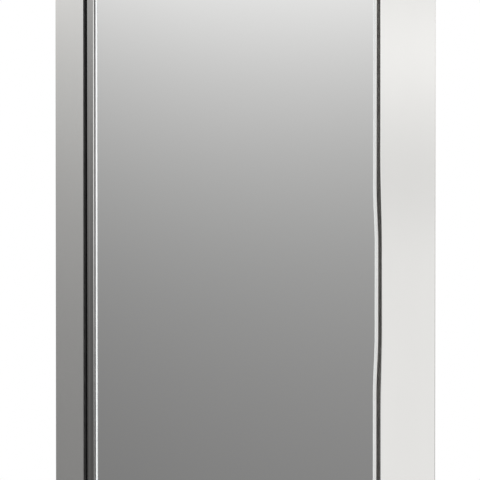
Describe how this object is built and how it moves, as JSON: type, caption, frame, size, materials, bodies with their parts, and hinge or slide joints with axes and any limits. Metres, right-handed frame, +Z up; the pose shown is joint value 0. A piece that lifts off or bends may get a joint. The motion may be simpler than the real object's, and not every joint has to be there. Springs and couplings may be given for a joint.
{
  "type": "medicine cabinet with mirror",
  "caption": "Tall wall-hung steel medicine cabinet with a mirrored door that swings on a rolled hinge barrel beside a fixed polished stile, over glass shelves on slotted standards.",
  "frame": {"origin": "middle of the back panel's rear face, on the wall", "axes": "+X to the right seen from the front, +Y into the wall, +Z up; the mirror faces -Y"},
  "size_m": [0.3518, 0.1308, 0.7],
  "materials": {
    "polished_steel": "bright polished stainless steel sheet",
    "barrel_steel": "satin stainless steel, darker than the case",
    "white_trim": "gloss white plastic edge trim",
    "mirror": "silvered glass with ground edges",
    "shelf_glass": "clear glass with polished edges",
    "zinc_steel": "zinc-plated steel",
    "nylon": "natural nylon",
    "catch_plastic": "moulded white plastic",
    "ferrite": "sintered magnet",
    "bumper_rubber": "clear soft rubber",
    "seal_rubber": "matt black rubber strip",
    "adhesive": "mirror mastic",
    "foam_core": "rigid foam board"
  },
  "bodies": {
    "cabinet": {"left_side": "polished_steel", "groove_seal": "seal_rubber", "right_side": "polished_steel", "top_panel": "polished_steel", "bottom_panel": "polished_steel", "back_panel": "polished_steel", "back_rivets": "zinc_steel", "upper_pivot_bracket": "zinc_steel", "lower_pivot_bracket": "zinc_steel", "upper_pivot_pin": "zinc_steel", "lower_pivot_pin": "zinc_steel", "door_stop_pin": "zinc_steel", "bracket_screws": "zinc_steel", "left_front_standard": "zinc_steel", "left_rear_standard": "zinc_steel", "right_front_standard": "zinc_steel", "right_rear_standard": "zinc_steel", "lower_shelf_clips": "zinc_steel", "middle_shelf_clips": "zinc_steel", "upper_shelf_clips": "zinc_steel", "lower_shelf": "shelf_glass", "middle_shelf": "shelf_glass", "upper_shelf": "shelf_glass", "upper_catch_housing": "catch_plastic", "lower_catch_housing": "catch_plastic", "upper_catch_magnet": "ferrite", "lower_catch_magnet": "ferrite", "upper_catch_poles": "zinc_steel", "lower_catch_poles": "zinc_steel", "catch_screws": "zinc_steel"},
    "door": {"mirror_glass": "mirror", "mirror_edge_channel": "white_trim", "mirror_bond_strips": "adhesive", "door_face_sheet": "barrel_steel", "door_tray": "polished_steel", "door_core": "foam_core", "upper_bush": "nylon", "lower_bush": "nylon", "upper_strike": "zinc_steel", "lower_strike": "zinc_steel", "strike_rivets": "zinc_steel", "door_bumpers": "bumper_rubber"}
  },
  "joints": [
    {"name": "door_hinge", "type": "hinge", "parent": "cabinet", "child": "door", "pos_m": [-0.1346, -0.1238, 0], "axis": [0, 0, -1], "range_deg": [0, 120]}
  ]
}
